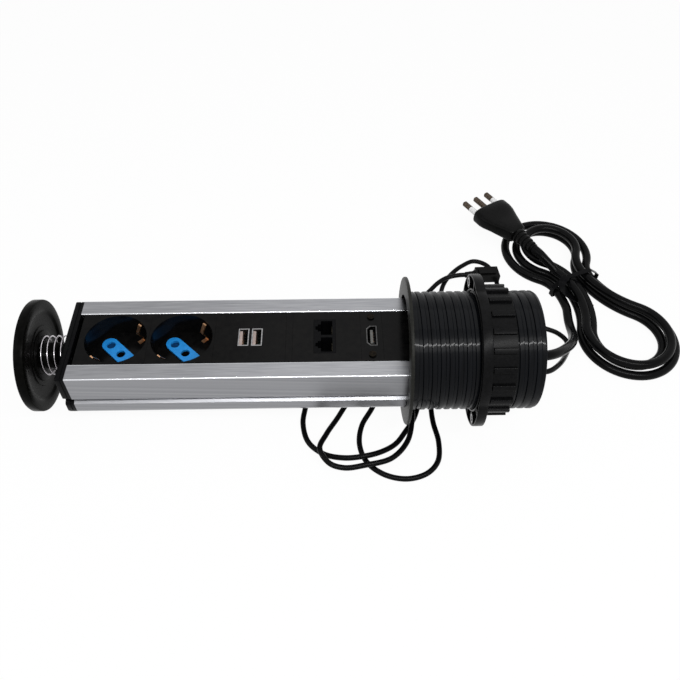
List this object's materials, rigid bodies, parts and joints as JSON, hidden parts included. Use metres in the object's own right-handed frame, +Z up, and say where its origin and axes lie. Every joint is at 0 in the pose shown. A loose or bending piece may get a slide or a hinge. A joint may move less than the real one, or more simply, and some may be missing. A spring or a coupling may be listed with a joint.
{
  "type": "pop up desk socket",
  "caption": "Pop-up desk socket lying on its side: an outlet tower that slides through a flanged threaded barrel, with a sprung lid, a clamp ring and nut, a tied mains lead and a data lead.",
  "frame": {"origin": "on the floor under the middle of the device, its cords left out", "axes": "+X along the device from the lid to the cords, +Y away from the viewer, +Z up; the device's own axis rises 2.86 degrees towards +X"},
  "size_m": [0.4753, 0.2829, 0.0999],
  "materials": {
    "barrel_plastic": "gloss black moulded plastic, satin on the flange",
    "clamp_plastic": "satin black moulded plastic",
    "strip_plastic": "gloss black moulded plastic",
    "cap_plastic": "satin black moulded plastic",
    "aluminium": "brushed along its length, bright edges",
    "steel": "plain zinc plated steel",
    "spring_steel": "bright spring wire",
    "port_metal": "bright plated shell",
    "blue_plastic": "saturated blue moulded plastic",
    "copper": "bare copper alloy",
    "brass": "bare brass",
    "board": "green circuit board",
    "wire": "coloured wire insulation",
    "cord_black": "black flexible sheath",
    "plug_plastic": "black moulded plug",
    "pin_metal": "dull plated brass",
    "pale_plastic": "pale insulating sleeve"
  },
  "bodies": {
    "barrel": {"barrel": "barrel_plastic", "data_lead": "cord_black", "data_boot": "plug_plastic", "data_plug": "plug_plastic"},
    "tower": {"profile": "aluminium", "top_cap": "cap_plastic", "top_cap_screws": "steel", "bottom_cap": "cap_plastic", "bottom_cap_screws": "steel", "lid_spring": "spring_steel", "socket_a": "strip_plastic", "socket_b": "strip_plastic", "pin_cover_a": "blue_plastic", "pin_cover_b": "blue_plastic", "earth_clips_a": "copper", "earth_clips_b": "copper", "contacts_a": "brass", "contacts_b": "brass", "supply_wires": "wire", "usb_plate": "strip_plastic", "usb_ports": "port_metal", "usb_tongues": "cap_plastic", "usb_board": "board", "spacer_plate": "strip_plastic", "network_plate": "strip_plastic", "network_jacks": "cap_plastic", "jack_contacts": "brass", "hdmi_plate": "strip_plastic", "hdmi_socket": "port_metal", "hdmi_tongue": "cap_plastic", "hdmi_screws": "steel", "blank_cover": "strip_plastic", "lead_gland": "cap_plastic", "mains_lead": "cord_black", "mains_hank": "cord_black", "cord_tie": "cap_plastic", "plug_lead": "cord_black", "plug_boot": "plug_plastic", "plug_body": "plug_plastic", "plug_pins": "pin_metal", "pin_sleeves": "pale_plastic", "data_gland": "cap_plastic"},
    "clamp_ring": {"clamp_ring": "clamp_plastic", "ear_inserts": "steel"},
    "ring_nut": {"ring_nut": "clamp_plastic"},
    "lid": {"lid": "cap_plastic", "lid_screw": "steel"},
    "shutter_a": {"shutter_a": "blue_plastic"},
    "shutter_b": {"shutter_b": "blue_plastic"}
  },
  "joints": [
    {"name": "tower_slide", "type": "slide", "parent": "barrel", "child": "tower", "axis": [0.9988, 0, 0.0499], "range_m": [0, 0.248], "deforming": ["data_lead"]},
    {"name": "lid_press", "type": "slide", "parent": "tower", "child": "lid", "axis": [0.9988, 0, 0.0499], "range_m": [0, 0.006], "stiffness_N_per_m": 800, "springref_m": -0.003, "deforming": ["lid_spring"]},
    {"name": "shutter_a_slide", "type": "slide", "parent": "tower", "child": "shutter_a", "axis": [0.7062, -0.7071, 0.0353], "range_m": [0, 0.006], "stiffness_N_per_m": 200, "springref_m": -0.002},
    {"name": "shutter_b_slide", "type": "slide", "parent": "tower", "child": "shutter_b", "axis": [0.7062, -0.7071, 0.0353], "range_m": [0, 0.006], "stiffness_N_per_m": 200, "springref_m": -0.002},
    {"name": "clamp_slide", "type": "slide", "parent": "barrel", "child": "clamp_ring", "axis": [0.9988, 0, 0.0499], "range_m": [-0.03, 0.018]},
    {"name": "nut_spin", "type": "hinge", "parent": "clamp_ring", "child": "ring_nut", "pos_m": [0.13962, 0, 0.05283], "axis": [0.9988, 0, 0.0499], "range_deg": [-1960, 1175]}
  ],
  "couplings": [
    {"joint": "clamp_slide", "follows": "nut_spin", "m_per_rad": 0.00087535}
  ]
}
